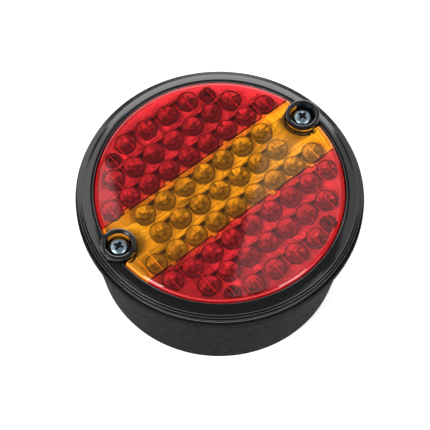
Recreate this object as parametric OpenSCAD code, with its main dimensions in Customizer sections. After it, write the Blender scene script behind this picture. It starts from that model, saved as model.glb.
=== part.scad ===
// Round trailer tail light, lying on its mounting face.
// A deep rear housing bolts to the vehicle. A sealed light unit with a red, amber and red
// lens sits on the housing's flange, and two captive screws hold it down.
// The origin is the centre of the mounting face, +Z points out through the lens, and the
// amber stripe runs along X.

/* [Rear housing] */
// Radius of the flange ring, the widest place
flange_r = 70; // [69.6:0.1:71]
// Height of the flange ring's top above the mounting face
flange_top = 56.9; // [55:0.1:62]
// Height of the flange ring
flange_h = 4.3; // [3.5:0.1:5]
// Outer radius of the wall at the mounting face
base_r = 61; // [60:0.5:63]
// Outer radius of the wall under the flange ring
wall_top_r = 67.3; // [66.5:0.1:68]
// Thickness of the wall
wall_t = 2.6; // [2:0.1:3]
// Thickness of the back plate
back_t = 3; // [2.5:0.1:4]
// Distance between the two fixing holes
fixing_spacing = 45; // [40:1:50]
// Radius of a fixing hole
fixing_r = 2.75; // [2.5:0.05:3.3]
// Bore radius of the cable grommet
cable_r = 3.5; // [2.5:0.1:4]
// Distance of the cable grommet from the centre
grommet_y = 34; // [30:1:36]

/* [Seals] */
// Thickness of the flat gasket on the flange
gasket_t = 1.2; // [1:0.1:1.6]
// Outer radius of the gasket
gasket_r = 68.5; // [68:0.1:68.8]

/* [Bezel and tray] */
// Outer radius of the bezel skirt
bezel_r = 69.2; // [68.9:0.1:69.5]
// Inner radius of the bezel, round the lens
bezel_in_r = 60.7; // [60.5:0.1:61]
// Outer radius of the tray that drops into the housing
tray_r = 62; // [61.8:0.1:62.2]
// Depth of the tray below the bezel's seat
tray_depth = 9.6; // [9.4:0.1:10]
// Number of fine steps round the bezel skirt
skirt_steps = 5; // [3:1:6]

/* [Lens] */
// Height of the lens face above the bezel's seat
lens_rise = 5.5; // [5.4:0.1:6]
// Thickness of the lens face
lens_t = 2; // [1.8:0.1:2]
// Thickness of the lens's side wall
lens_side_t = 1.5; // [1.4:0.05:1.6]
// Radius of the flat lens face
lens_flat_r = 58.6; // [58.4:0.1:58.8]
// Half width of the amber stripe
stripe_half = 17.7; // [17.6:0.1:18]
// Width of each amber key that crosses the colour boundary
key_w = 3; // [2:0.1:4]

/* [Screw wells] */
// Distance of each main screw from the centre plane, along X
well_x = 57.2; // [57:0.1:57.3]
// Offset of both main screws from the stripe's centre line
well_y = 5.8; // [5.6:0.05:6]
// Outer radius of the collar round a main screw
collar_r = 8.6; // [8.4:0.1:8.7]
// Height of the collar above the lens face
collar_rise = 1.4; // [1.2:0.1:2]

/* [Optics] */
// Distance between neighbouring collimators in a row
optic_pitch = 12.1; // [12:0.05:12.2]
// Radius of one collimator
optic_r = 5.4; // [5:0.1:5.5]
// Edge length of one light chip's package
led_w = 3.4; // [3:0.1:3.6]

/* [Main screws] */
// Radius of the screw's pan head
head_r = 4.45; // [4.2:0.05:4.7]
// Height of the screw's pan head
head_h = 2.7; // [2.4:0.1:3]
// Radius of the screw's shank
shank_r = 2.4; // [2.2:0.05:2.4]
// Length of the screw below its head
shank_l = 22; // [18:1:24]

/* [Hidden] */
$fn = 96;

// Levels, all built up from the flange ring
eps = 0.5;
flange_bottom = flange_top - flange_h;
seat_z = flange_top + gasket_t;
floor_z = seat_z - tray_depth;
floor_t = 2;
board_z = floor_z + floor_t + 1.6;
board_t = 1.6;
board_top = board_z + board_t;
ledge_z = seat_z + 0.5;
lens_foot_z = ledge_z + 0.5;
lens_top = seat_z + lens_rise;
lens_under = lens_top - lens_t;
collar_top = lens_top + collar_rise;
optic_top = lens_under - 1;
web_z = optic_top - 3.8;
web_t = 1.4;
cup_z = board_top + 1.8;

// Screw well stack, from the boss in the tray up to the screw head
boss_top = ledge_z;
boss_r = 8.2;
boss_bore_r = 2.75;
seal_t = 1.2;
washer_t = 0.8;
washer_r = 4.2;
seal_r = 4.6;
head_z = boss_top + seal_t + washer_t;
well_in_r = 6.4;
well_out_r = 8.1;
well_top = lens_top - 1.2;
saddle_top = seat_z + 3.3;
saddle_half = 9.4;
saddle_x = well_x - 1;

// Posts in the housing that carry the threaded inserts
post_r = 5.6;
post_top = floor_z - 0.4;
insert_r = 3.3;
insert_l = 12;
insert_bore_r = shank_r + 0.05;
rib_t = 2.2;

// Pads on the back plate
pad_h = 2;
fixing_pad_r = 6.5;
grommet_pad_r = 12;
grommet_hole_r = 7;
grommet_flange_r = 9.6;
grommet_recess = 1.6;
grommet_web_t = back_t + pad_h - grommet_recess;

// Rows of the optic field: distance from the centre line in pitches, and count in the row
row_step = 12.1;
short_row_pitch = 13;
short_row_y = 49.1;
optic_rows = [[-3, 7], [-2, 9], [-1, 9], [0, 7], [1, 7], [2, 9], [3, 7]];
optic_field_r = 58.7;
resistor_rise = 3.1;
slot_l = 4;
slot_w = 1.1;
well_clear_r = 9.2;

// Small screws that hold the optic plate and the board to the tray
optic_screw_x = 29.7;
optic_screw_y = 46.1;
optic_screw_r = 1.45;
optic_head_r = 4;
optic_head_h = 2.2;
optic_seat_z = web_z + web_t - 0.2;
optic_boss_r = 3.8;
optic_screw_l = 12.2;
tray_post_r = 3.6;
tray_post_low = 4;

// Contacts
blade_count = 4;
blade_pitch = 9;
blade_w = 6.3;
blade_t = 0.8;
blade_low = 38.5;
blade_y = -6.05;
blade_pin_w = 2.4;
block_l = 38;
block_w = 8;
block_low = floor_z - 3;

function mid(count) = (count - 1) / 2;
function row_xs(count, pitch) = [for (i = [0 : count - 1]) (i - mid(count)) * pitch];
function blade_xs() = row_xs(blade_count, blade_pitch);

// Every collimator position in the rows from first to last, rows numbered from the centre.
// The outermost ones are drawn in a little, so that they stay clear of the lens wall.
function field(first, last) = [for (p = grid(first, last))
    p * min(1, (optic_field_r - optic_r - 0.1) / max(norm(p), 1))];
function grid(first, last) = concat(
    [for (r = optic_rows) if (r[0] >= first && r[0] <= last)
        for (x = row_xs(r[1], optic_pitch)) [x, r[0] * row_step]],
    first <= -4 ? [for (x = row_xs(4, short_row_pitch)) [x, -short_row_y]] : [],
    last >= 4 ? [for (x = row_xs(4, short_row_pitch)) [x, short_row_y]] : []);

// Midpoints between row neighbours, where the series resistors sit
function resistor_sites() = concat(
    [for (r = optic_rows) for (i = [0 : r[1] - 2])
        [(i + 0.5 - mid(r[1])) * optic_pitch, r[0] * row_step]],
    [for (s = [-1, 1]) for (i = [-1 : 1]) [i * short_row_pitch, s * short_row_y]]);

module at_wells() {
    for (side = [-1, 1]) translate([side * well_x, well_y, 0]) children();
}

module at_well(side) {
    translate([side * well_x, well_y, 0]) children();
}

module at_optic_screws() {
    for (x = [-1, 1], y = [-1, 1]) translate([x * optic_screw_x, y * optic_screw_y, 0]) children();
}

module rod(r, low, high) {
    translate([0, 0, low]) cylinder(r = r, h = high - low);
}

module slab(x, y, low, high) {
    translate([-x / 2, -y / 2, low]) cube([x, y, high - low]);
}

// Cross recess of a pan head, cut down from z = 0
module cross_recess(span, slot, depth) {
    for (turn = [0, 90]) rotate([0, 0, turn]) slab(span, slot, -depth, eps);
    rotate([0, 0, 45]) slab(slot * 1.5, slot * 1.5, -depth, eps);
}

// Pan head with a crowned top; its flat underside is at z = 0
module pan_head(r, h) {
    rotate_extrude() polygon([[0, 0], [r, 0], [r, h * 0.45], [r * 0.93, h * 0.72],
        [r * 0.78, h * 0.9], [r * 0.5, h], [0, h]]);
}

// ---- rear housing ----

module housing_shell() {
    lip = 0.5;
    groove = 0.7;
    in_top = wall_top_r - wall_t - 0.2;
    rotate_extrude($fn = 144) polygon([[0, 0], [base_r - lip, 0], [base_r, lip],
        [wall_top_r, flange_bottom - groove], [wall_top_r - groove, flange_bottom - groove],
        [wall_top_r - groove, flange_bottom], [flange_r - lip, flange_bottom],
        [flange_r, flange_bottom + lip], [flange_r, flange_top - lip],
        [flange_r - lip, flange_top], [tray_r + 0.6, flange_top],
        [tray_r + 0.6, flange_bottom + 1], [in_top, flange_bottom - 2],
        [base_r - wall_t, back_t], [0, back_t]]);
}

// Solid cone just inside the outer wall, to trim the posts
module post_envelope() {
    rotate_extrude($fn = 144) polygon([[0, back_t / 2], [base_r - 1, back_t / 2],
        [wall_top_r - 1.3, flange_bottom - 2], [0, flange_bottom - 2]]);
}

module posts() {
    intersection() {
        union() {
            at_wells() rod(post_r, back_t / 2, post_top);
            for (side = [-1, 1]) translate([side * (well_x + post_r), well_y, 0])
                slab(2 * post_r, rib_t, back_t / 2, post_top - 6);
        }
        post_envelope();
    }
}

module floor_ribs() {
    rib_h = 2;
    for (side = [-1, 1]) translate([side * fixing_spacing / 2 * 1.75, 0, 0])
        slab(fixing_spacing * 0.65, rib_t, back_t - eps, back_t + rib_h);
    translate([0, -base_r * 0.45, 0]) slab(rib_t, base_r * 0.85, back_t - eps, back_t + rib_h);
}

module rear_housing() {
    color("#1b1c1e") difference() {
        union() {
            housing_shell();
            posts();
            floor_ribs();
            for (side = [-1, 1]) translate([side * fixing_spacing / 2, 0, 0])
                rod(fixing_pad_r, back_t / 2, back_t + pad_h);
            translate([0, grommet_y, 0]) rod(grommet_pad_r, back_t / 2, back_t + pad_h);
        }
        at_wells() rod(insert_r, post_top - insert_l - 4, post_top + eps);
        for (side = [-1, 1]) translate([side * fixing_spacing / 2, 0, 0])
            rod(fixing_r, -eps, back_t + pad_h + eps);
        translate([0, grommet_y, 0]) rod(grommet_hole_r, -eps, back_t + pad_h + eps);
        translate([0, grommet_y, 0]) rod(grommet_flange_r + 0.4, -eps, grommet_recess);
    }
}

module post_inserts() {
    color("#c9a54a") at_wells() difference() {
        rod(insert_r, post_top - insert_l, post_top);
        rod(insert_bore_r, post_top - insert_l - eps, post_top + eps);
    }
}

module cable_grommet() {
    inner_z = grommet_recess + grommet_web_t;
    color("#26272a") translate([0, grommet_y, 0]) rotate_extrude() polygon([
        [cable_r, 0.3], [grommet_flange_r, 0.3], [grommet_flange_r, grommet_recess],
        [grommet_hole_r, grommet_recess], [grommet_hole_r, inner_z],
        [grommet_flange_r, inner_z], [grommet_flange_r - 0.6, inner_z + 1.6],
        [cable_r + 2, inner_z + 2.4], [cable_r + 1.6, inner_z + 5.5],
        [cable_r, inner_z + 5.5]]);
}

module housing_gasket() {
    color("#2a2b2d") rotate_extrude($fn = 144) translate([tray_r + 1.4, flange_top])
        square([gasket_r - tray_r - 1.4, gasket_t]);
}

// ---- light unit ----

// Fine steps that run down the bezel's skirt, from the crest to the seat
function skirt() = [for (i = [0 : skirt_steps - 1], part = [0, 1])
    let (run = (bezel_r - skirt_top_r) / skirt_steps, fall = 1.6 / skirt_steps)
    [skirt_top_r + (i + part) * run, skirt_top_z - i * fall - part * 0.12]];
skirt_top_r = 66.4;
skirt_top_z = seat_z + 2.1;

module bezel_ring_and_tray() {
    wall_in = tray_r - 3;
    ledge_in = wall_in - 2;
    rotate_extrude($fn = 144) polygon(concat(
        [[0, floor_z], [tray_r, floor_z], [tray_r, seat_z], [bezel_r, seat_z]],
        [for (i = [len(skirt()) - 1 : -1 : 0]) skirt()[i]],
        [[skirt_top_r - 0.2, seat_z + 2.4], [skirt_top_r - 1.5, seat_z + 2.95],
        [skirt_top_r - 2.8, seat_z + 3.4], [bezel_in_r + 1.9, seat_z + 3.7],
        [bezel_in_r + 1.1, seat_z + 3.75], [bezel_in_r + 0.4, seat_z + 3.55],
        [bezel_in_r, seat_z + 3], [bezel_in_r, ledge_z],
        [wall_in, ledge_z], [wall_in, board_z], [ledge_in, board_z],
        [ledge_in, floor_z + floor_t], [0, floor_z + floor_t]]));
}

// Plan shape of the opening from a screw well out to the bezel
module saddle_plan(side, half) {
    intersection() {
        translate([side * saddle_x, well_y - half]) mirror([side < 0 ? 1 : 0, 0])
            square([tray_r - saddle_x + 2, 2 * half]);
        circle(r = bezel_in_r + 1);
    }
}

module saddle(side) {
    translate([0, 0, ledge_z - eps]) linear_extrude(saddle_top - ledge_z + eps)
        saddle_plan(side, saddle_half);
}

module bezel_tray() {
    color("#17181a") difference() {
        union() {
            bezel_ring_and_tray();
            for (side = [-1, 1]) saddle(side);
            intersection() {
                at_wells() rod(boss_r, floor_z + eps, boss_top);
                rod(tray_r, floor_z, boss_top + 1);
            }
            at_optic_screws() rod(tray_post_r, floor_z - tray_post_low, board_z);
        }
        at_wells() rod(collar_r + 0.15, ledge_z, saddle_top + 1);
        at_wells() rod(boss_bore_r, floor_z - eps, boss_top + eps);
        at_optic_screws() rod(optic_screw_r + 0.05, floor_z - tray_post_low + 1, board_z + eps);
        translate([0, blade_y, 0]) slab(block_l - 4, block_w - 2, floor_z - eps, board_z);
    }
}

// Solid between two offsets of the lens outline: the full dome, cut to a foot at the bezel
module lens_body() {
    foot_r = bezel_in_r - 0.15;
    rotate_extrude($fn = 144) polygon([
        [foot_r - lens_side_t, lens_foot_z], [foot_r, lens_foot_z], [foot_r, lens_top - 2.5],
        [foot_r - 0.2, lens_top - 1.5], [foot_r - 0.65, lens_top - 0.65],
        [foot_r - 1.25, lens_top - 0.15], [lens_flat_r, lens_top], [0, lens_top],
        [0, lens_under], [lens_flat_r - 0.6, lens_under], [foot_r - lens_side_t - 0.2,
        lens_under - 0.3], [foot_r - lens_side_t, lens_under - 0.9]]);
}

// Plan of the lens field on one side of the stripe, without the amber keys
module red_plan(sign) {
    size = 2 * flange_r;
    difference() {
        translate([-size / 2, sign > 0 ? stripe_half : -stripe_half - size]) square(size);
        translate([0, sign * stripe_half]) key_row(0);
    }
}

module amber_plan() {
    size = 2 * flange_r;
    translate([-size / 2, -stripe_half]) square([size, 2 * stripe_half]);
    for (sign = [-1, 1]) translate([0, sign * stripe_half]) key_row(0);
}

// Keys that lock the colours together, a square peg every two pitches
module key_row(grow) {
    for (i = [-2, -1, 1, 2]) translate([key_x(i) - key_w / 2 - grow, -key_w / 2])
        square([key_w + 2 * grow, key_w]);
}
function key_x(i) = sign(i) * (abs(i) == 2 ? 42.7 : 18);

module lens_red(sign) {
    intersection() {
        lens_body();
        translate([0, 0, lens_foot_z - 1]) linear_extrude(lens_top) red_plan(sign);
    }
}

module lens_red_upper() {
    color([0.85, 0.1, 0.14, 0.75]) difference() {
        lens_red(1);
        for (side = [-1, 1]) lens_well_cut(side);
    }
}

module lens_red_lower() {
    color([0.85, 0.1, 0.14, 0.75]) lens_red(-1);
}

module lens_well_cut(side) {
    translate([0, 0, lens_foot_z - 1]) linear_extrude(lens_top) intersection() {
        translate([side * saddle_x, well_y - saddle_half - 0.15])
            mirror([side < 0 ? 1 : 0, 0]) square([tray_r, 2 * saddle_half + 0.3]);
        circle(r = flange_r);
    }
}

module lens_amber() {
    color([0.96, 0.6, 0.1, 0.75]) difference() {
        union() {
            difference() {
                intersection() {
                    lens_body();
                    translate([0, 0, lens_foot_z - 1]) linear_extrude(lens_top) amber_plan();
                }
                for (side = [-1, 1]) lens_well_cut(side);
                at_wells() rod(collar_r + 0.1, well_top, lens_top + 1);
            }
            at_wells() rod(well_out_r, lens_foot_z, well_top);
        }
        at_wells() rod(well_in_r, lens_foot_z - 1, lens_top + 1);
    }
}

module lens_seal() {
    seal_out = bezel_in_r - 0.1;
    color("#3a3b3d") difference() {
        rotate_extrude($fn = 144) translate([seal_out - lens_side_t, ledge_z])
            square([lens_side_t, lens_foot_z - ledge_z]);
        for (side = [-1, 1]) translate([0, 0, -1]) lens_well_cut(side);
    }
    color("#3a3b3d") at_wells() difference() {
        rod(well_out_r, ledge_z, lens_foot_z);
        rod(well_in_r, ledge_z - 1, lens_foot_z + 1);
    }
}

// Collar ring on top of a well, with a half skirt down to the bezel's saddle
module collar(side) {
    edge = 0.9;
    in_r = well_in_r - 0.15;
    at_well(side) rotate_extrude() polygon([[in_r, well_top], [collar_r, well_top],
        [collar_r, collar_top - edge], [collar_r - edge * 0.3, collar_top - edge * 0.3],
        [collar_r - edge, collar_top], [in_r + edge * 0.8, collar_top],
        [in_r + edge * 0.2, collar_top - edge * 0.3], [in_r, collar_top - edge]]);
    intersection() {
        at_well(side) difference() {
            rod(collar_r, saddle_top - 1.5, well_top + eps);
            rod(well_out_r + 0.05, saddle_top - 2, well_top);
            rod(well_in_r + 0.2, saddle_top - 2, well_top + 1);
        }
        translate([side * (saddle_x + 0.2), well_y - collar_r, 0])
            mirror([side < 0 ? 1 : 0, 0, 0]) cube([2 * collar_r, 2 * collar_r, collar_top]);
    }
}

module collar_left() {
    color("#141516") collar(-1);
}

module collar_right() {
    color("#141516") collar(1);
}

// One collimator: a pocket over the light chip, a cone that gathers the light, a dished top
module collimator() {
    pocket = 1.7;
    rotate_extrude($fn = 48) polygon([[0, cup_z + 2.2], [pocket * 0.8, cup_z + 2.1],
        [pocket, cup_z + 1.4], [pocket, cup_z], [pocket + 1, cup_z], [optic_r, web_z + 0.6],
        [optic_r, optic_top], [optic_r * 0.66, optic_top], [optic_r * 0.5, optic_top - 0.6],
        [0, optic_top - 0.6]]);
}

// Flat web between the collimators, with a slot over each series resistor
module optic_web() {
    difference() {
        rod(optic_field_r, web_z, web_z + web_t);
        for (p = field(-4, 4)) translate([p[0], p[1], 0])
            rod(optic_r - 0.6, web_z - 1, web_z + web_t + 1);
        for (p = resistor_sites()) translate([p[0], p[1] + resistor_rise, 0])
            slab(slot_l, slot_w, web_z - 1, web_z + web_t + 1);
    }
}

module optic_plate() {
    color([0.85, 0.87, 0.9, 0.6]) difference() {
        union() {
            optic_web();
            for (p = field(-4, 4)) translate([p[0], p[1], 0]) collimator();
            at_optic_screws() rod(optic_boss_r, board_top, optic_seat_z);
        }
        at_wells() rod(well_clear_r, board_top - 1, optic_top + 1);
        at_optic_screws() rod(optic_screw_r + 0.15, board_top - 1, optic_top + 1);
        at_optic_screws() rod(optic_head_r + 0.2, optic_seat_z, optic_top + 1);
    }
}

module led_board() {
    color("#e8e6de") difference() {
        rod(tray_r - 3.9, board_z, board_top);
        at_wells() rod(well_clear_r, board_z - 1, board_top + 1);
        at_optic_screws() rod(optic_screw_r + 0.15, board_z - 1, board_top + 1);
        for (x = blade_xs()) translate([x, blade_y, 0])
            slab(blade_pin_w, blade_t, board_z - 1, board_top + 1);
    }
}

module light_chips(first, last) {
    dome = 1.25;
    body_h = 1.3;
    for (p = field(first, last)) translate([p[0], p[1], 0]) {
        slab(led_w, led_w * 0.85, board_top, board_top + body_h);
        rotate_extrude($fn = 32) polygon([[0, board_top + body_h], [dome, board_top + body_h],
            [dome * 0.85, board_top + body_h + 0.6], [dome * 0.45, board_top + body_h + 1],
            [0, board_top + body_h + 1.1]]);
    }
}

module leds_red_upper() {
    color("#d8b0a8") light_chips(2, 4);
}

module leds_amber() {
    color("#e0c88c") light_chips(-1, 1);
}

module leds_red_lower() {
    color("#d8b0a8") light_chips(-4, -2);
}

module resistors() {
    color("#202124") for (p = resistor_sites()) translate([p[0], p[1] + resistor_rise, 0])
        slab(3.2, 1.2, board_top, board_top + 0.6);
}

module diodes() {
    color("#1d1e20") for (x = [-1, 1], y = [-1, 1]) translate([x * 24, y * 20, 0])
        slab(4.4, 2.6, board_z - 1.3, board_z);
}

module regulators() {
    color("#1d1e20") for (x = [-1, 0, 1]) translate([x * 16, 30, 0])
        slab(6.5, 6.1, board_z - 1.4, board_z);
}

module blade_block() {
    color("#202225") translate([0, blade_y, 0]) difference() {
        union() {
            slab(block_l - 4, block_w - 2, floor_z, floor_z + floor_t);
            slab(block_l, block_w, block_low, floor_z);
        }
        for (x = blade_xs()) translate([x, 0, 0])
            slab(blade_w, blade_t, block_low - 1, floor_z + floor_t + 1);
    }
}

module contact_blades() {
    nose = 1.2;
    color("#c8a85a") for (x = blade_xs()) translate([x, blade_y, 0]) {
        difference() {
            slab(blade_w, blade_t, blade_low, floor_z + floor_t + 0.6);
            translate([0, 0, blade_low + 3.2]) rotate([90, 0, 0])
                translate([0, 0, -blade_t]) cylinder(r = 0.8, h = 2 * blade_t, $fn = 32);
            for (turn = [-1, 1]) translate([turn * blade_w / 2, 0, blade_low])
                rotate([0, 45, 0]) cube([nose, 2 * blade_t, nose], center = true);
        }
        slab(blade_pin_w, blade_t, floor_z + floor_t + 0.6 - eps, board_top + 0.8);
    }
}

module optic_screws() {
    color("#a9adb3") at_optic_screws() difference() {
        union() {
            translate([0, 0, optic_seat_z]) pan_head(optic_head_r, optic_head_h);
            rod(optic_screw_r, optic_seat_z - optic_screw_l + 1.4, optic_seat_z + eps);
            translate([0, 0, optic_seat_z - optic_screw_l])
                cylinder(r1 = 0.4, r2 = optic_screw_r, h = 1.4);
        }
        translate([0, 0, optic_seat_z + optic_head_h]) cross_recess(4.4, 0.9, 1.4);
    }
}

module screw_seals() {
    color("#1c1d1f") at_wells() difference() {
        rod(seal_r, boss_top, boss_top + seal_t);
        rod(boss_bore_r, boss_top - 1, boss_top + seal_t + 1);
    }
}

module washer(side) {
    at_well(side) difference() {
        rod(washer_r, boss_top + seal_t, head_z);
        rod(shank_r + 0.06, boss_top, head_z + 1);
    }
}

module washer_left() {
    color("#b9bec6") washer(-1);
}

module washer_right() {
    color("#b9bec6") washer(1);
}

module main_screw(side) {
    tip = 2;
    at_well(side) difference() {
        union() {
            translate([0, 0, head_z]) pan_head(head_r, head_h);
            rod(shank_r, head_z - shank_l + tip, head_z + eps);
            translate([0, 0, head_z - shank_l]) cylinder(r1 = shank_r * 0.6, r2 = shank_r, h = tip);
        }
        translate([0, 0, head_z + head_h]) cross_recess(4.8, 1, 1.7);
    }
}

module main_screw_left() {
    color("#c3c9d1") main_screw(-1);
}

module main_screw_right() {
    color("#c3c9d1") main_screw(1);
}

rear_housing();
post_inserts();
cable_grommet();
housing_gasket();
bezel_tray();
lens_seal();
lens_red_upper();
lens_amber();
lens_red_lower();
collar_left();
collar_right();
optic_plate();
led_board();
leds_red_upper();
leds_amber();
leds_red_lower();
resistors();
diodes();
regulators();
blade_block();
contact_blades();
optic_screws();
screw_seals();
washer_left();
washer_right();
main_screw_left();
main_screw_right();
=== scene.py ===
"""Looks of the round trailer tail light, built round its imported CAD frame."""
import math

import bmesh
import bpy
from mathutils import Matrix, Vector


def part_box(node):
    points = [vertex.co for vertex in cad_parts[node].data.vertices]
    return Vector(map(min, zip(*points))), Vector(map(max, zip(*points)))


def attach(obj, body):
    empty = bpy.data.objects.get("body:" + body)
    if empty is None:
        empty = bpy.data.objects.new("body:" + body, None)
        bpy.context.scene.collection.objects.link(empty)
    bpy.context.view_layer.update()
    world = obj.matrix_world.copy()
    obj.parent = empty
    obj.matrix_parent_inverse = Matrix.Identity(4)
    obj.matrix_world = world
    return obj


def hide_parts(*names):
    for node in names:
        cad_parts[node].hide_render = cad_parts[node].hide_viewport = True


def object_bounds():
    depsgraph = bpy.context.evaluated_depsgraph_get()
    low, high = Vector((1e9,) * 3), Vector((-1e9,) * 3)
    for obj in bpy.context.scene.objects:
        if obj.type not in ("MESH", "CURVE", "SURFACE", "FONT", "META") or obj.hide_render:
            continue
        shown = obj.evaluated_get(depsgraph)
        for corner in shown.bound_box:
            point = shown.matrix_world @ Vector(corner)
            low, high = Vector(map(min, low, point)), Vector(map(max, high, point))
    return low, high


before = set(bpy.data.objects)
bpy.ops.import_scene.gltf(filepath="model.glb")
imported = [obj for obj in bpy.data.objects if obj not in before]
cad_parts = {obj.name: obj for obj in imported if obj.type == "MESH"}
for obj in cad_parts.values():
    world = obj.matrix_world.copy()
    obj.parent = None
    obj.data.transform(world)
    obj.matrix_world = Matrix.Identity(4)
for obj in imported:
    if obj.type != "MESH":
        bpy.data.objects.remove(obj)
cad_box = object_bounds()

MM = 0.001

# ---- sizes that the CAD has too, in millimetres ----
PITCH = 12.1  # between collimators in a row
ROW_STEP = 12.1  # between rows
ROWS = ((-3, 7), (-2, 9), (-1, 9), (0, 7), (1, 7), (2, 9), (3, 7))  # row, its collimators
SHORT_PITCH = 13.0  # in the two short rows of four
SHORT_Y = 49.1
OPTIC_R = 5.4
OPTIC_REACH = 53.2  # furthest that a collimator's centre may lie
RESISTOR_RISE = 3.1  # of a slot above its row
WELL = (57.2, 5.8)  # centre of the right screw well
WELL_CLEAR = 9.2  # radius kept free round a well
SCREW_SPOT = (29.7, 46.1)  # centre of the upper right optic screw
STRIPE_HALF = 17.7
LENS_T = 2.0
HEAD_R = 4.45
SHANK_R = 2.4
OPTIC_HEAD_R = 4.0
THREAD_PITCH = 0.8

ROUND = 220  # sides of a full ring round the lamp
WELD = 1e-7  # metres, within which corners are one


# ---------------------------------------------------------------- materials

class Nodes:
    """A material's node tree, with short calls to add and join nodes."""

    def __init__(self, name):
        self.mat = bpy.data.materials.new(name)
        self.mat.use_nodes = True
        self.tree = self.mat.node_tree
        self.tree.nodes.clear()
        self.out = self.add("ShaderNodeOutputMaterial")
        self.coord = self.add("ShaderNodeTexCoord")

    def add(self, kind, **values):
        node = self.tree.nodes.new(kind)
        for key, value in values.items():
            setattr(node, key, value)
        return node

    def join(self, source, target):
        self.tree.links.new(source, target)

    def noise(self, size_mm, detail=3.0, stretch=(1, 1, 1)):
        """Noise with features about size_mm wide."""
        mapping = self.add("ShaderNodeMapping")
        mapping.inputs["Scale"].default_value = stretch
        tex = self.add("ShaderNodeTexNoise")
        tex.inputs["Scale"].default_value = 1.0 / (size_mm * MM)
        tex.inputs["Detail"].default_value = detail
        self.join(self.coord.outputs["Object"], mapping.inputs["Vector"])
        self.join(mapping.outputs["Vector"], tex.inputs["Vector"])
        return tex.outputs["Fac"]

    def remap(self, source, low, high, at_low=0.3, at_high=0.7):
        node = self.add("ShaderNodeMapRange")
        node.inputs["From Min"].default_value = at_low
        node.inputs["From Max"].default_value = at_high
        node.inputs["To Min"].default_value = low
        node.inputs["To Max"].default_value = high
        self.join(source, node.inputs["Value"])
        return node.outputs["Result"]

    def blend(self, factor, one, two):
        """Colour that goes from one to two as factor goes from 0 to 1."""
        node = self.add("ShaderNodeMix", data_type="RGBA")
        self.join(factor, node.inputs["Factor"])
        for socket, value in ((node.inputs[6], one), (node.inputs[7], two)):
            if hasattr(value, "links"):
                self.join(value, socket)
            else:
                socket.default_value = (*value, 1.0)
        return node.outputs[2]

    def bump(self, height, strength, depth_mm, under=None):
        node = self.add("ShaderNodeBump")
        node.inputs["Strength"].default_value = strength
        node.inputs["Distance"].default_value = depth_mm * MM
        self.join(height, node.inputs["Height"])
        if under is not None:
            self.join(under, node.inputs["Normal"])
        return node.outputs["Normal"]

    def principled(self, **values):
        node = self.add("ShaderNodeBsdfPrincipled")
        for key, value in values.items():
            node.inputs[key.replace("_", " ")].default_value = value
        return node

    def finish(self, shader):
        self.join(shader, self.out.inputs["Surface"])
        return self.mat


def moulded(name, colour, rough, grain_mm=0.25, grain=0.25, coat=0.0, dust=0.25,
            shine=0.5):
    """Moulded plastic or rubber: fine grain, uneven sheen, and a little pale dust."""
    n = Nodes(name)
    bsdf = n.principled(Coat_Weight=coat, Coat_Roughness=0.12, Specular_IOR_Level=shine)
    pale = tuple(c + (0.16 - c * 0.16) * dust for c in colour)
    soft = n.remap(n.noise(9.0, 4.0), 0.0, 0.55, 0.42, 0.75)
    n.join(n.blend(soft, colour, pale), bsdf.inputs["Base Color"])
    n.join(n.remap(n.noise(3.0, 4.0), rough * 0.85, rough * 1.15), bsdf.inputs["Roughness"])
    n.join(n.bump(n.noise(grain_mm, 2.0), grain, 0.05), bsdf.inputs["Normal"])
    return n.finish(bsdf.outputs["BSDF"])


def metal(name, colour, rough, scratch_mm=0.08):
    """Plated metal with fine turned scratches and a mottled sheen."""
    n = Nodes(name)
    bsdf = n.principled(Metallic=1.0)
    dull = tuple(c * 0.72 for c in colour)
    mottle = n.remap(n.noise(0.9, 4.0), 0.0, 1.0)
    n.join(n.blend(mottle, colour, dull), bsdf.inputs["Base Color"])
    n.join(n.remap(n.noise(0.4, 3.0), rough * 0.7, rough * 1.4), bsdf.inputs["Roughness"])
    fine = n.noise(scratch_mm, 2.0, stretch=(1.0, 1.0, 5.0))
    n.join(n.bump(fine, 0.25, 0.02), bsdf.inputs["Normal"])
    return n.finish(bsdf.outputs["BSDF"])


def tinted_lens(name, tint):
    """Polished tinted acrylic that bends what lies behind it; shadows take its tint."""
    n = Nodes(name)
    patchy = n.remap(n.noise(14.0, 3.0), 0.0, 1.0)
    colour = n.blend(patchy, tint, tuple(t * 0.93 for t in tint))
    body = n.principled(Transmission_Weight=1.0, IOR=1.49, Specular_IOR_Level=0.35)
    n.join(colour, body.inputs["Base Color"])
    n.join(n.remap(n.noise(2.5, 3.0), 0.015, 0.05), body.inputs["Roughness"])
    n.join(n.bump(n.noise(5.0, 2.0), 0.1, 0.04), body.inputs["Normal"])
    shade = n.add("ShaderNodeBsdfTransparent")
    once = tuple(math.sqrt(t) for t in tint)
    n.join(n.blend(patchy, once, tuple(t * 0.965 for t in once)), shade.inputs["Color"])
    path = n.add("ShaderNodeLightPath")
    surface = n.add("ShaderNodeMixShader")
    n.join(path.outputs["Is Shadow Ray"], surface.inputs["Fac"])
    n.join(body.outputs["BSDF"], surface.inputs[1])
    n.join(shade.outputs["BSDF"], surface.inputs[2])
    return n.finish(surface.outputs["Shader"])


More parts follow.
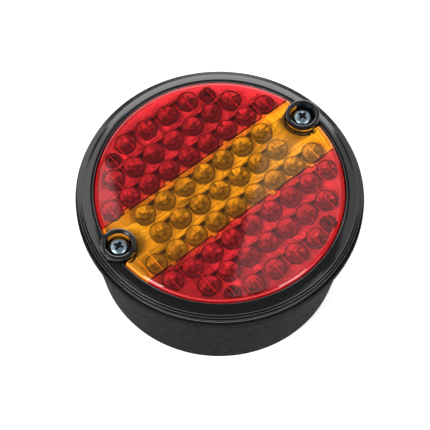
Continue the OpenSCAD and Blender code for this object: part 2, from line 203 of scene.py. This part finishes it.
# moulded: name, colour, roughness, then the size in mm and the depth of its grain
HOUSING = moulded("housing_matt", (0.0075, 0.0082, 0.0085), 0.6, 0.35, 0.2,
                  dust=0.015, shine=0.02)
BEZEL = moulded("bezel_satin", (0.004, 0.0042, 0.0046), 0.12, 0.6, 0.02, dust=0.01, shine=0.6)
# paler than the bezel: the raised lines' grey is a painted highlight, on top of their real
# gloss
BEAD_PAINTED_SHEEN = moulded("bezel_line_painted_sheen", (0.09, 0.094, 0.097), 0.22, 0.6, 0.03, dust=0.1, shine=0.9)
COLLAR = moulded("collar_gloss", (0.004, 0.004, 0.0045), 0.16, 0.6, 0.05, dust=0.02, shine=0.6)
RUBBER = moulded("rubber_black", (0.005, 0.005, 0.005), 0.62, 0.2, 0.4, dust=0.03, shine=0.2)
SEALANT = moulded("sealant_grey", (0.05, 0.05, 0.052), 0.5, 1.2, 0.3)
BOARD = moulded("board_white", (0.80, 0.79, 0.75), 0.4, 0.4, 0.1, dust=0.0)
CHIP = moulded("chip_black", (0.02, 0.02, 0.022), 0.4, 0.15, 0.3)
BLOCK = moulded("block_black", (0.02, 0.02, 0.021), 0.45, 0.3, 0.3)
LED_PACK = moulded("led_package", (0.20, 0.19, 0.17), 0.3, 0.2, 0.1, dust=0.0)
WEB = moulded("optic_web", (0.86, 0.85, 0.81), 0.22, 0.8, 0.05, coat=0.4, dust=0.0)
# ribs in a lit copy of the lens colour: painted light for glints along the prism edges
RIB_RED_PAINTED_LIT = moulded("rib_red_painted_lit", (0.62, 0.13, 0.14), 0.4, 0.8, 0.05, dust=0.0, shine=0.2)
RIB_AMBER_PAINTED_LIT = moulded("rib_amber_painted_lit", (0.88, 0.55, 0.16), 0.4, 0.8, 0.05, dust=0.0, shine=0.2)
DISH = moulded("optic_dish", (0.17, 0.165, 0.16), 0.16, 0.9, 0.04, coat=0.8, dust=0.0)
# dark edge colour: outlines and dark lines, and also painted shade on the cups' dark sides and
# rims
EDGE_AND_PAINTED_SHADE = moulded("optic_edge_and_painted_shade", (0.085, 0.08, 0.076), 0.2, 0.5, 0.05, coat=0.3, dust=0.0)
# pale and half pale facet colours: painted highlights on one side of every cup
PAINTED_PALE_FACET = moulded("optic_facet_painted_pale", (0.50, 0.49, 0.46), 0.12, 0.7, 0.04, coat=0.8, dust=0.0)
PAINTED_HALF_PALE_FACET = moulded("optic_facet_painted_half_pale", (0.36, 0.35, 0.32), 0.12, 0.7, 0.04, coat=0.8, dust=0.0)
BLACK_ZINC = moulded("zinc_black", (0.10, 0.097, 0.097), 0.35, 0.3, 0.15, coat=0.2, dust=0.0)
ZINC = metal("zinc_blue", (0.34, 0.46, 0.54), 0.32)
# the cross recesses: painted shade, much darker than the screws' metal
RECESS_PAINTED_SHADE = moulded("recess_painted_shade", (0.01, 0.012, 0.016), 0.4, 0.2, 0.2, dust=0.0, shine=0.3)
BRASS = metal("brass_tab", (0.80, 0.60, 0.28), 0.3)
RED = tinted_lens("lens_red", (0.90, 0.17, 0.20))
AMBER = tinted_lens("lens_amber", (1.0, 0.63, 0.11))
PRISM_RED = tinted_lens("prism_red", (0.98, 0.80, 0.85))
PRISM_AMBER = tinted_lens("prism_amber", (1.0, 0.93, 0.70))
# opaque lit copies of the lens colours: painted light, for the lens's glowing side wall and the
# amber in the wells
PAINTED_LIT_AMBER = moulded("painted_lit_amber", (0.72, 0.27, 0.010), 0.3, 0.6, 0.05, coat=0.3, dust=0.0)
PAINTED_LIT_RED = moulded("painted_lit_red", (0.42, 0.014, 0.020), 0.3, 0.6, 0.05, coat=0.3, dust=0.0)

LOOKS = {
    "rear_housing": HOUSING, "post_inserts": BRASS, "cable_grommet": RUBBER,
    "housing_gasket": RUBBER, "bezel_tray": BEZEL, "lens_seal": SEALANT,
    "lens_red_upper": RED, "lens_amber": AMBER, "lens_red_lower": RED,
    "collar_left": COLLAR, "collar_right": COLLAR, "led_board": BOARD,
    "leds_red_upper": LED_PACK, "leds_amber": LED_PACK, "leds_red_lower": LED_PACK,
    "resistors": CHIP, "diodes": CHIP, "regulators": CHIP, "blade_block": BLOCK,
    "contact_blades": BRASS, "optic_screws": BLACK_ZINC, "screw_seals": RUBBER,
    "washer_left": ZINC, "washer_right": ZINC, "main_screw_left": ZINC,
    "main_screw_right": ZINC, "optic_plate": WEB,
}
for node_name, look in LOOKS.items():
    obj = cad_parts[node_name]
    if not obj.material_slots:
        obj.data.materials.append(look)
    for mat_slot in obj.material_slots:
        mat_slot.material = look


# ---------------------------------------------------------------- shape helpers

def finish_mesh(bm, name, materials, body):
    bmesh.ops.recalc_face_normals(bm, faces=bm.faces)
    mesh = bpy.data.meshes.new(name)
    bm.to_mesh(mesh)
    bm.free()
    for material in materials:
        mesh.materials.append(material)
    piece = bpy.data.objects.new(name, mesh)
    bpy.context.scene.collection.objects.link(piece)
    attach(piece, body)
    return piece


def lathe(bm, profile, centre=(0.0, 0.0), segments=48):
    """Turns a profile of (radius, height, material) points, in mm, into a closed skin."""
    rings = []
    for radius, height, _ in profile:
        if radius < 1e-6:
            rings.append([bm.verts.new((centre[0] * MM, centre[1] * MM, height * MM))])
            continue
        rings.append([bm.verts.new(((centre[0] + radius * math.cos(t)) * MM,
                                    (centre[1] + radius * math.sin(t)) * MM, height * MM))
                      for t in (math.tau * k / segments for k in range(segments))])
    for (low, high, point) in zip(rings, rings[1:], profile[1:]):
        for k in range(segments):
            j = (k + 1) % segments
            corners = ([low[0]] if len(low) == 1 else [low[k], low[j]])
            corners += ([high[0]] if len(high) == 1 else [high[j], high[k]])
            face = bm.faces.new(corners)
            face.material_index = point[2]
            face.smooth = True


def skin(bm, rings, materials=(0, 0, 0, 0)):
    """Joins sections of as many corners as materials has entries, and caps both ends."""
    count = len(materials)
    for one, two in zip(rings, rings[1:]):
        for k in range(count):
            j = (k + 1) % count
            face = bm.faces.new((one[k], one[j], two[j], two[k]))
            face.material_index = materials[k]
    bm.faces.new(rings[0][::-1])
    bm.faces.new(rings[-1])


def optic_spots():
    """Centre of every collimator, in mm; the outermost are drawn in clear of the lens wall."""
    spots = [((k - (count - 1) / 2) * PITCH, row * ROW_STEP)
             for row, count in ROWS for k in range(count)]
    spots += [((k - 1.5) * SHORT_PITCH, side * SHORT_Y)
              for side in (-1, 1) for k in range(4)]
    pull = [min(1.0, OPTIC_REACH / max(math.hypot(x, y), 1.0)) for x, y in spots]
    return [(x * p, y * p) for (x, y), p in zip(spots, pull)]


def resistor_spots():
    """Centre of every slot between row neighbours, in mm."""
    spots = [((k + 0.5 - (count - 1) / 2) * PITCH, row * ROW_STEP + RESISTOR_RISE)
             for row, count in ROWS for k in range(count - 1)]
    spots += [(k * SHORT_PITCH, side * SHORT_Y + RESISTOR_RISE)
              for side in (-1, 1) for k in (-1, 0, 1)]
    return spots


# ---------------------------------------------------------------- optic plate

FIELD_R = 58.9  # of the web
PAINTED_LIGHT_AZIMUTH = 100.0  # degrees; the side of every cup painted as lit, a painted highlight
PAINTED_LIT_FACET_COS = 0.35  # cosine from that side beyond which a funnel's facet is painted lit
PAINTED_LIT_RIM_COS = 0.2  # the same, for the part of a cup's rim painted lighter; the rest is painted shade
PAINTED_RIM_LIGHT_REACH = 46.0  # radius inside which a rim has that painted lighter part
CUP_TURN = 0.37  # radians that each cup is turned from the one before
FOLDS = (0.0, 0.5, 0.1)  # how far a funnel folds at its rim, its middle and its foot


def add_box(bm, centre, size, material=0):
    """Adds a closed box to bm; centre and size are in mm."""
    made = bmesh.ops.create_cube(bm, size=1.0)["verts"]
    for v in made:
        v.co = Vector([(c + k * d) * MM for c, k, d in zip(centre, v.co, size)])
    for face in {f for v in made for f in v.link_faces}:
        face.material_index = material


def cut(piece, cutters, material=0):
    """Takes the cutters' shape out of the piece and throws the cutters away."""
    for face in cutters.faces:
        face.material_index = material
    bmesh.ops.recalc_face_normals(cutters, faces=cutters.faces)
    mesh = bpy.data.meshes.new("cutter")
    cutters.to_mesh(mesh)
    cutters.free()
    tool = bpy.data.objects.new("cutter", mesh)
    bpy.context.scene.collection.objects.link(tool)
    modifier = piece.modifiers.new("cut", "BOOLEAN")
    modifier.operation = "DIFFERENCE"
    modifier.solver = "EXACT"
    modifier.use_self = True
    modifier.object = tool
    for slot in piece.data.materials:
        mesh.materials.append(slot)
    bpy.context.view_layer.update()
    graph = bpy.context.evaluated_depsgraph_get()
    made = bpy.data.meshes.new_from_object(piece.evaluated_get(graph))
    piece.modifiers.clear()
    piece.data = made
    bpy.data.objects.remove(tool)


def optic_web():
    """The plate under the cups: a raised rim, with wells, screw holes and slots cut through."""
    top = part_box("optic_plate")[1].z / MM
    web_top = top - 2.4
    bm = bmesh.new()
    lathe(bm, [(0.0, web_top - 1.4, 0), (FIELD_R, web_top - 1.4, 0), (FIELD_R, top - 0.4, 0),
               (FIELD_R - 0.3, top - 0.2, 0), (FIELD_R - 0.7, top - 0.2, 0),
               (FIELD_R - 1.0, top - 0.4, 0), (FIELD_R - 1.1, web_top, 0), (0.0, web_top, 0)],
          segments=160)
    piece = finish_mesh(bm, "optic_web", [WEB], "light_unit")
    cutters = bmesh.new()
    below, above, screw_clear = web_top - 3, top + 2, OPTIC_HEAD_R + 0.25
    for x in (-1, 1):
        lathe(cutters, [(0, below, 0), (WELL_CLEAR, below, 0), (WELL_CLEAR, above, 0),
                        (0, above, 0)], (x * WELL[0], WELL[1]), 64)
        for y in (-1, 1):
            lathe(cutters, [(0, below, 0), (screw_clear, below, 0), (screw_clear, above, 0),
                            (0, above, 0)], (x * SCREW_SPOT[0], y * SCREW_SPOT[1]), 48)
    for x, y in resistor_spots():
        add_box(cutters, (x, y, web_top), (4.0, 1.1, 4.0))
    cut(piece, cutters)
    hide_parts("optic_plate")


def folded_funnel(bm, centre, outer, inner, folds, turn, looks):
    """Funnel of flat facets that fold in and out; outer and inner are (radius, height).

    looks holds the materials of the side painted in shade, then those of the side painted lit.
    """
    count = 2 * folds
    rings = []
    middle = ((outer[0] + inner[0]) / 2, (outer[1] + inner[1]) / 2)
    for (radius, height), fold in zip((outer, middle, inner), FOLDS):
        rings.append([bm.verts.new(Vector((
            centre[0] + (radius + fold * (-1) ** k) * math.cos(turn + math.tau * k / count),
            centre[1] + (radius + fold * (-1) ** k) * math.sin(turn + math.tau * k / count),
            height + fold * (-1) ** k)) * MM) for k in range(count)])
    for level in (0, 1):
        for k in range(count):
            j = (k + 1) % count
            face = bm.faces.new((rings[level][k], rings[level][j],
                                 rings[level + 1][j], rings[level + 1][k]))
            angle = math.degrees(turn) + 180.0 * (2 * k + 1) / count
            # painted light and shade: facets facing one fixed side take the pale materials, the
            # others the dark ones
            lit = math.cos(math.radians(angle - PAINTED_LIGHT_AZIMUTH)) > PAINTED_LIT_FACET_COS
            face.material_index = looks[lit][(k * 3 + level) % len(looks[lit])]
            face.smooth = False


def collimators():
    """The 63 cups: a dark rim, a folded funnel, and a low nub with a chip's face on it; light
    and shade are painted on by side.
    """
    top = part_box("optic_plate")[1].z / MM
    bm = bmesh.new()
    # the dark edge material is also painted shade; indices 2 and 4 are painted highlights on
    # the lit facets
    edge, dish, painted_glint, chip, pale = 0, 1, 2, 3, 4
    for number, (x, y) in enumerate(optic_spots()):
        first = len(bm.faces)
        lathe(bm, [(OPTIC_R - 0.1, top - 2.6, edge), (OPTIC_R, top - 0.3, edge),
                   (OPTIC_R - 0.15, top - 0.08, edge), (OPTIC_R - 0.3, top, edge),
                   (OPTIC_R - 0.5, top - 0.1, edge), (OPTIC_R - 0.65, top - 0.5, edge)],
              (x, y), 32)
        bm.faces.ensure_lookup_table()
        # painted light and shade: on inner cups the rim's faces towards one side take the
        # lighter dish colour, the rest stay dark
        for face in bm.faces[first:]:
            middle = face.calc_center_median() / MM
            away = math.degrees(math.atan2(middle.y - y, middle.x - x)) - PAINTED_LIGHT_AZIMUTH
            if math.hypot(x, y) < PAINTED_RIM_LIGHT_REACH and math.cos(math.radians(away)) > PAINTED_LIT_RIM_COS:
                face.material_index = dish
        folded_funnel(bm, (x, y), (OPTIC_R - 0.6, top - 0.45), (1.5, top - 2.25), 6,
                      number * CUP_TURN,
                      ((dish, edge, dish), (pale, dish, painted_glint, pale, painted_glint)))
        lathe(bm, [(1.62, top - 2.3, dish), (1.5, top - 2.05, dish), (1.2, top - 1.95, dish),
                   (0.0, top - 1.9, dish)], (x, y), 20)
        add_box(bm, (x, y, top - 1.9), (1.5, 1.3, 0.3), chip)
    finish_mesh(bm, "collimators", [EDGE_AND_PAINTED_SHADE, DISH, PAINTED_HALF_PALE_FACET, LED_PACK, PAINTED_PALE_FACET], "light_unit")


def slot_shade_frames():
    """Dark frames that stand round the slots over the series resistors: painted shade, for the
    shade inside each slot.
    """
    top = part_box("optic_plate")[1].z / MM - 0.1
    long, wide, wall, deep = 4.2, 0.95, 0.34, 3.2
    middle = top - deep / 2 + 0.06
    bm = bmesh.new()
    for x, y in resistor_spots():
        for side in (-1, 1):
            add_box(bm, (x, y + side * (wide - wall) / 2, middle), (long, wall, deep))
            add_box(bm, (x + side * (long - wall) / 2, y, middle),
                    (wall, wide - 2 * wall, deep))
    finish_mesh(bm, "slot_shade_frames", [CHIP], "light_unit")


optic_web()
collimators()
slot_shade_frames()


# ---------------------------------------------------------------- prisms under the lens

CELL = PITCH / 2  # width of a wedge
CELL_ROWS = round(STRIPE_HALF / CELL)  # rows of wedges in half the stripe
CELL_STEP = STRIPE_HALF / CELL_ROWS
DEEP_SIDES = (0, 2, 0, 0, 3, 0, 1)  # the deep side of one wedge after another
WELL_EDGE = WELL[0] - WELL_CLEAR - 0.5  # where a well's free space starts along X
BAR_START = 46.0  # radius inside which the ribs stop


def prism_cell(bm, x0, x1, y0, y1, under, deep_side):
    """One shallow wedge on the lens's inner face, deepest at one of its four sides."""
    sink, thin, thick, gap = 0.05, 0.1, 0.85, 0.05
    corners = ((x0 + gap, y0 + gap), (x1 - gap, y0 + gap), (x1 - gap, y1 - gap),
               (x0 + gap, y1 - gap))
    deep = ((1, 2), (3, 0), (2, 3), (0, 1))[deep_side]
    high = [bm.verts.new(Vector((x, y, under + sink)) * MM) for x, y in corners]
    low = [bm.verts.new(Vector((x, y, under - (thick if k in deep else thin))) * MM)
           for k, (x, y) in enumerate(corners)]
    bm.faces.new(high)
    bm.faces.new(low[::-1])
    for k in range(4):
        j = (k + 1) % 4
        bm.faces.new((high[k], low[k], low[j], high[j]))


def lens_prisms():
    """Wedges in square cells, half a pitch wide, under each lens colour."""
    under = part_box("lens_amber")[1].z / MM - LENS_T
    reach = 57.6
    columns, last_row = math.ceil(reach / CELL), math.ceil(reach / CELL_STEP)
    zones = (("amber", -CELL_ROWS, CELL_ROWS, PRISM_AMBER, "lens_amber"),
             ("red_upper", CELL_ROWS, last_row, PRISM_RED, "lens_red"),
             ("red_lower", -last_row, -CELL_ROWS, PRISM_RED, "lens_red"))
    for name, first, last, look, slot in zones:
        bm = bmesh.new()
        for row in range(first, last):
            for column in range(-columns, columns):
                x0, x1 = column * CELL, (column + 1) * CELL
                y0, y1 = row * CELL_STEP, (row + 1) * CELL_STEP
                far = math.hypot(max(abs(x0), abs(x1)), max(abs(y0), abs(y1)))
                middle = ((x0 + x1) / 2, (y0 + y1) / 2)
                well = min(math.hypot(middle[0] - side * WELL[0], middle[1] - WELL[1])
                           for side in (-1, 1))
                if far > reach or well < WELL_CLEAR + CELL * 0.75:
                    continue
                deep_side = DEEP_SIDES[(row * 2 + column) % len(DEEP_SIDES)]
                prism_cell(bm, x0, x1, y0, y1, under, deep_side)
        finish_mesh(bm, "lens_prisms_" + name, [look], "light_unit")


def lens_ridges():
    """Thin ribs between the columns of wedges near the rim, in a painted lit lens colour, and
    dark lines between the rows.
    """
    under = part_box("lens_amber")[1].z / MM - LENS_T
    reach = 57.4
    columns, rows = int(reach / CELL), int(reach / CELL_STEP)
    zones = (("amber", -STRIPE_HALF, STRIPE_HALF, RIB_AMBER_PAINTED_LIT, "lens_amber"),
             ("red_upper", STRIPE_HALF, reach, RIB_RED_PAINTED_LIT, "lens_red"),
             ("red_lower", -reach, -STRIPE_HALF, RIB_RED_PAINTED_LIT, "lens_red"))
    for name, low, high, look, slot in zones:
        bm = bmesh.new()
        for k in range(-columns, columns + 1):
            x = k * CELL
            half = math.sqrt(reach ** 2 - x ** 2)
            start, end = max(low, -half) + 0.3, min(high, half) - 0.3
            if name == "amber" and abs(x) > WELL_EDGE:
                end = min(end, WELL[1] - WELL_CLEAR - 0.5)
            inside = math.sqrt(max(BAR_START ** 2 - x ** 2, 0.0))
            for foot, head in ((start, min(end, -inside)), (max(start, inside), end)):
                if head - foot > 1.5:
                    add_box(bm, (x, (foot + head) / 2, under - 0.35),
                            (0.18, head - foot, 0.6))
        for k in range(-rows, rows + 1):
            y = k * CELL_STEP
            if not low + 0.5 < y < high - 0.5:
                continue
            half = math.sqrt(reach ** 2 - y ** 2)
            if name == "amber":
                half = min(half, WELL_EDGE)
            add_box(bm, (0.0, y, under - 0.12), (2 * half, 0.1, 0.28), 1)
        finish_mesh(bm, "lens_ridges_" + name, [look, EDGE_AND_PAINTED_SHADE], "light_unit")


def lens_rims():
    """The lens's side wall as an opaque core in a lit copy of its colour, painted light, pale
    on its inner face.
    """
    low, high = (corner.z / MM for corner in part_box("lens_amber"))
    inner, outer = 59.15, 60.42
    steps_per_radian = 30
    join = math.asin(STRIPE_HALF / outer)
    well = math.asin((WELL[1] + WELL_CLEAR + 0.4) / outer)
    foot = math.asin((WELL[1] - WELL_CLEAR - 0.4) / outer)
    turn = math.pi
    runs = (("red_upper", PAINTED_LIT_RED, "lens_red", ((join, turn - join),)),
            ("red_lower", PAINTED_LIT_RED, "lens_red", ((turn + join, 2 * turn - join),)),
            ("amber", PAINTED_LIT_AMBER, "lens_amber", ((well, join), (turn - join, turn - well),
                                                (turn - foot, turn + join), (-join, foot))))
    for name, look, slot, stretches in runs:
        bm = bmesh.new()
        for start, end in stretches:
            count = max(3, round((end - start) * steps_per_radian))
            rings = []
            for k in range(count + 1):
                t = start + (end - start) * k / count
                rings.append([bm.verts.new(Vector((r * math.cos(t), r * math.sin(t), z)) * MM)
                              for r, z in ((inner, low + 0.1), (outer, low + 0.1),
                                           (outer, high - 2.2), (outer - 0.35, high - 1.35),
                                           (outer - 0.9, high - 0.9), (inner, high - 0.8))])
            skin(bm, rings, (0, 0, 0, 0, 0, 1))
        finish_mesh(bm, "lens_rim_" + name, [look, WEB], "light_unit")


lens_prisms()
lens_ridges()
lens_rims()


# ---------------------------------------------------------------- screws

def screw_head(bm, centre, base, radius, height):
    """Pan head with a rolled edge, in mm; its flat underside is at base."""
    steps = 7
    crown = [(radius * math.cos(t), base + height * (0.42 + 0.58 * math.sin(t)), 0)
             for t in (math.pi / 2 * k / steps for k in range(steps))]
    lathe(bm, [(0.0, base, 0), (radius * 0.97, base, 0), (radius, base + height * 0.06, 0)]
          + crown + [(0.0, base + height, 0)], centre, 64)


def cross_cutter(centre, top, span, width, depth, turn):
    """Four tapered wings and a middle cone, the shape that a cross driver leaves."""
    cutters = bmesh.new()
    lathe(cutters, [(0.0, top - depth, 0), (width * 0.75, top - depth * 0.75, 0),
                    (width * 1.15, top + 0.4, 0), (0.0, top + 0.4, 0)], centre, 24)
    for quarter in range(2):
        a = turn + quarter * math.pi / 2
        along = Vector((math.cos(a), math.sin(a), 0))
        across = Vector((-math.sin(a), math.cos(a), 0))
        middle = Vector((*centre, 0))
        ring = []
        for half, reach, height in ((width * 0.38, span * 0.30, top - depth),
                                    (width * 0.52, span * 0.54, top + 0.4)):
            ring.append([cutters.verts.new((middle + along * reach * i + across * half * j
                                            + Vector((0, 0, height))) * MM)
                         for i, j in ((-1, -1), (1, -1), (1, 1), (-1, 1))])
        cutters.faces.new(ring[0][::-1])
        cutters.faces.new(ring[1])
        for k in range(4):
            j = (k + 1) % 4
            cutters.faces.new((ring[0][k], ring[0][j], ring[1][j], ring[1][k]))
    return cutters


def main_screws():
    """A head with a cross recess and a threaded shank for each well."""
    for side, name, turn in ((-1, "left", 0.5), (1, "right", 0.15)):
        low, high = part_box("main_screw_" + name)
        centre = (side * WELL[0], WELL[1])
        head, top, tip = 2.7, high.z / MM, low.z / MM
        bm = bmesh.new()
        screw_head(bm, centre, top - head, HEAD_R, head)
        piece = finish_mesh(bm, "main_screw_" + name + "_head", [ZINC, RECESS_PAINTED_SHADE],
                            "screw_" + name)
        # the recess faces take the painted shade colour
        cut(piece, cross_cutter(centre, top, span=5.4, width=1.5, depth=1.7, turn=turn), 1)
        bm = bmesh.new()
        under, outer, root = top - head, SHANK_R - 0.02, SHANK_R - 0.22
        plain, point = 3.0, 2.0
        profile = [(0.0, under + 0.1, 0), (outer, under + 0.1, 0)]
        turns = int((under - plain - tip - point) / THREAD_PITCH)
        for k in range(turns):
            z = under - plain - k * THREAD_PITCH
            profile += [(outer, z, 0), (root, z - THREAD_PITCH * 0.45, 0)]
        profile += [(outer, tip + point, 0), (SHANK_R * 0.6, tip, 0), (0.0, tip, 0)]
        lathe(bm, profile, centre, 40)
        shank = finish_mesh(bm, "main_screw_" + name + "_shank", [ZINC], "screw_" + name)
        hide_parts("main_screw_" + name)
        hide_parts("main_screw_" + name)


def optic_screws():
    """Four black screws with a cross recess, which hold the optic plate down."""
    low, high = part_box("optic_screws")
    head, top, tip, shank_r = 2.2, high.z / MM, low.z / MM, 1.42
    for x in (-1, 1):
        for y in (-1, 1):
            centre = (x * SCREW_SPOT[0], y * SCREW_SPOT[1])
            name = "optic_screw_{}_{}".format("left" if x < 0 else "right",
                                              "low" if y < 0 else "up")
            bm = bmesh.new()
            screw_head(bm, centre, top - head, OPTIC_HEAD_R, head)
            lathe(bm, [(0.0, top - head + 0.1, 0), (shank_r, top - head + 0.1, 0),
                       (shank_r, tip + 1.4, 0), (0.4, tip, 0), (0.0, tip, 0)], centre, 32)
            piece = finish_mesh(bm, name, [BLACK_ZINC, RECESS_PAINTED_SHADE], "light_unit")
            # the recess faces take the painted shade colour
            cut(piece, cross_cutter(centre, top, span=4.9, width=1.3, depth=1.4,
                                    turn=0.35 + 0.9 * x + 0.4 * y), 1)
            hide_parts("optic_screws")


main_screws()
optic_screws()


# ---------------------------------------------------------------- bezel and well trim

def raised_lines(lines):
    """Rings of round section about the lamp's axis: (radius, height, half width) for each."""
    sides = 10
    bm = bmesh.new()
    for radius, height, half in lines:
        lathe(bm, [(radius + half * math.cos(t), height + half * math.sin(t), 0)
                   for t in (math.tau * k / sides for k in range(sides + 1))], segments=ROUND)
    bmesh.ops.remove_doubles(bm, verts=bm.verts, dist=WELD)
    return bm


def bezel_beads():
    """Fine raised lines round the bezel: one on its inner lip, three on its skirt; their paler
    grey is a painted highlight.
    """
    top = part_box("bezel_tray")[1].z / MM
    lip_r, skirt_r = 61.3, 66.45
    collar_clear, cut_end = 9.4, 66.0  # only the lip's line stops at the collars
    bm = raised_lines([(lip_r, top - 0.18, 0.14)]
                      + [(skirt_r + 1.12 * k, top - 1.70 - 0.64 * k, 0.13) for k in range(3)])
    for side in (-1, 1):
        under_collar = []
        for face in bm.faces:
            middle = face.calc_center_median() / MM
            from_well = math.hypot(middle.x - side * WELL[0], middle.y - WELL[1])
            if from_well < collar_clear and math.hypot(middle.x, middle.y) < cut_end:
                under_collar.append(face)
        bmesh.ops.delete(bm, geom=under_collar, context="FACES")
    holes = [e for e in bm.edges if e.is_boundary]
    bmesh.ops.holes_fill(bm, edges=holes, sides=0)
    finish_mesh(bm, "bezel_beads", [BEAD_PAINTED_SHEEN], "light_unit")


def flange_beads():
    """Two fine raised lines round the housing's flange ring, near its top and its foot; their
    paler grey is a painted highlight.
    """
    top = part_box("rear_housing")[1].z / MM
    radius, half = 69.85, 0.14
    bm = raised_lines([(radius, top - 0.75, half), (radius, top - 2.1, half)])
    finish_mesh(bm, "flange_beads", [BEAD_PAINTED_SHEEN], "housing")


def well_sleeves():
    """The inner wall of each screw well: black, with a patch of lit amber painted on one side.
    """
    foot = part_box("lens_amber")[0].z / MM
    inner, outer = 6.22, 6.4
    for side, name, start, end in ((-1, "left", 0, 105), (1, "right", 80, 130)):
        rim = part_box("collar_" + name)[1].z / MM - 1.4
        bm = bmesh.new()
        lathe(bm, [(outer, foot, 0), (inner, foot + 0.1, 0), (inner, rim - 0.1, 0),
                   (outer, rim, 0), (outer, foot, 0)], (side * WELL[0], WELL[1]), 64)
        bmesh.ops.remove_doubles(bm, verts=bm.verts, dist=WELD)
        for face in bm.faces:
            middle = face.calc_center_median() / MM
            angle = math.degrees(math.atan2(middle.y - WELL[1], middle.x - side * WELL[0]))
            # painted light: faces between start and end take the lit amber
            face.material_index = int(start < angle < end)
        finish_mesh(bm, "well_sleeve_" + name, [COLLAR, PAINTED_LIT_AMBER], "light_unit")


def well_surrounds():
    """The black foot of each well, on the side towards the optics."""
    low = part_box("bezel_tray")[1].z / MM - 3.2
    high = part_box("lens_amber")[1].z / MM - 2.4
    inner, outer, start, sweep, steps = 8.14, 9.1, 108, 138, 28
    for side, name in ((-1, "left"), (1, "right")):
        bm = bmesh.new()
        rings = []
        for k in range(steps + 1):
            t = math.radians(start + sweep * k / steps)
            rings.append([bm.verts.new(Vector((side * (WELL[0] + r * math.cos(t)),
                                               WELL[1] + r * math.sin(t), z)) * MM)
                          for r, z in ((inner, low), (outer, low), (outer, high),
                                       (inner, high))])
        skin(bm, rings)
        finish_mesh(bm, "well_surround_" + name, [COLLAR], "light_unit")


bezel_beads()
flange_beads()
well_sleeves()
well_surrounds()


# ---------------------------------------------------------------- stage, light, camera

def plain_stage():
    """A pale floor that glows a little, so that it stays near white as in the photo."""
    n = Nodes("floor_pale")
    bsdf = n.principled(Roughness=0.6, Emission_Color=(1.0, 1.0, 1.0, 1.0),
                        Emission_Strength=0.45)
    grey, pale = (0.90, 0.90, 0.90), (0.93, 0.93, 0.93)
    n.join(n.blend(n.noise(400.0, 2.0), grey, pale), bsdf.inputs["Base Color"])
    material = n.finish(bsdf.outputs["BSDF"])
    half_width, drop = 3.0, 0.0001
    bm = bmesh.new()
    bmesh.ops.create_grid(bm, x_segments=8, y_segments=8, size=half_width)
    mesh = bpy.data.meshes.new("floor")
    bm.to_mesh(mesh)
    bm.free()
    mesh.materials.append(material)
    floor = bpy.data.objects.new("floor", mesh)
    floor.location.z = cad_box[0].z - drop
    bpy.context.scene.collection.objects.link(floor)


def direction(azimuth, elevation):
    """The way from the object to something seen from it at these angles, in degrees."""
    a, e = math.radians(azimuth), math.radians(elevation)
    return Vector((math.sin(a) * math.cos(e), -math.cos(a) * math.cos(e), math.sin(e)))


def area_light(name, azimuth, elevation, distance, size, power, height=None, lit=None):
    """A soft box that faces the object; lit, if given, is all that it lights."""
    away = direction(azimuth, elevation)
    data = bpy.data.lights.new(name, "AREA")
    data.shape = "RECTANGLE"
    data.size = size
    data.size_y = height or size
    data.energy = power
    lamp = bpy.data.objects.new(name, data)
    lamp.location = away * distance + Vector((0, 0, 0.05))
    lamp.rotation_mode = "QUATERNION"
    lamp.rotation_quaternion = (-away).to_track_quat("-Z", "Y")
    bpy.context.scene.collection.objects.link(lamp)
    if lit is not None:
        lamp.light_linking.receiver_collection = lit


def lit_from_behind():
    """What the lights behind the lamp shine on: not the lens, which would mirror them."""
    group = bpy.data.collections.new("lit_from_behind")
    names = ("bezel_tray", "bezel_beads", "collar_left", "collar_right", "rear_housing",
             "housing_gasket", "main_screw_left_head", "main_screw_right_head",
             "washer_left", "washer_right", "well_sleeve_left", "well_sleeve_right", "floor")
    for name in names:
        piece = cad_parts.get(name) or bpy.data.objects[name]
        group.objects.link(piece)
    return group


# The camera's place, fitted so that the outline matches the photo's; angles in degrees
# but for the roll, which is in radians, and lengths in metres.
CAM_AZIMUTH = -40.05
CAM_ELEVATION = 61.74
CAM_DISTANCE = 0.9
CAM_SHIFT_RIGHT = -0.00218
CAM_SHIFT_UP = 0.01662
CAM_ROLL = -0.018
CAM_LENS_MM = 146.8


def set_camera():
    a = math.radians(CAM_AZIMUTH)
    back = direction(CAM_AZIMUTH, CAM_ELEVATION)
    right = Vector((math.cos(a), math.sin(a), 0.0))
    up = back.cross(right)
    data = bpy.data.cameras.new("camera")
    data.lens = CAM_LENS_MM
    data.sensor_width = 36.0
    data.clip_start, data.clip_end = 0.05, 20.0
    cam = bpy.data.objects.new("camera", data)
    place = back * CAM_DISTANCE + right * CAM_SHIFT_RIGHT + up * CAM_SHIFT_UP
    c, s = math.cos(CAM_ROLL), math.sin(CAM_ROLL)
    turn = Matrix((right * c - up * s, right * s + up * c, back)).transposed().to_4x4()
    cam.matrix_world = Matrix.Translation(place) @ turn
    bpy.context.scene.collection.objects.link(cam)
    bpy.context.scene.camera = cam


def set_world():
    world = bpy.data.worlds.new("world")
    world.use_nodes = True
    back = world.node_tree.nodes["Background"]
    back.inputs["Color"].default_value = (1.0, 1.0, 1.0, 1.0)
    back.inputs["Strength"].default_value = 0.16
    bpy.context.scene.world = world
    bpy.context.scene.view_settings.view_transform = "Standard"


# area_light: azimuth and elevation in degrees, distance and width in metres, watts, and
# for the lights behind the lamp their height in metres and what they light
plain_stage()
area_light("key_left", CAM_AZIMUTH - 55, 42, 1.5, 0.7, 18.0)
area_light("fill_right", CAM_AZIMUTH + 60, 40, 1.6, 0.8, 15.5)
behind = lit_from_behind()
area_light("far_wall", CAM_AZIMUTH + 180, 18, 1.4, 1.7, 13.0, 0.7, behind)
area_light("far_left", CAM_AZIMUTH - 125, 40, 1.4, 1.1, 3.6, 0.6, behind)
area_light("far_right", CAM_AZIMUTH + 125, 40, 1.4, 1.1, 1.7, 0.6, behind)
area_light("haze", CAM_AZIMUTH + 167, 63, 1.55, 0.24, 0.12)
area_light("haze_left", CAM_AZIMUTH + 193.5, 61, 1.58, 0.08, 0.025)
set_world()
set_camera()
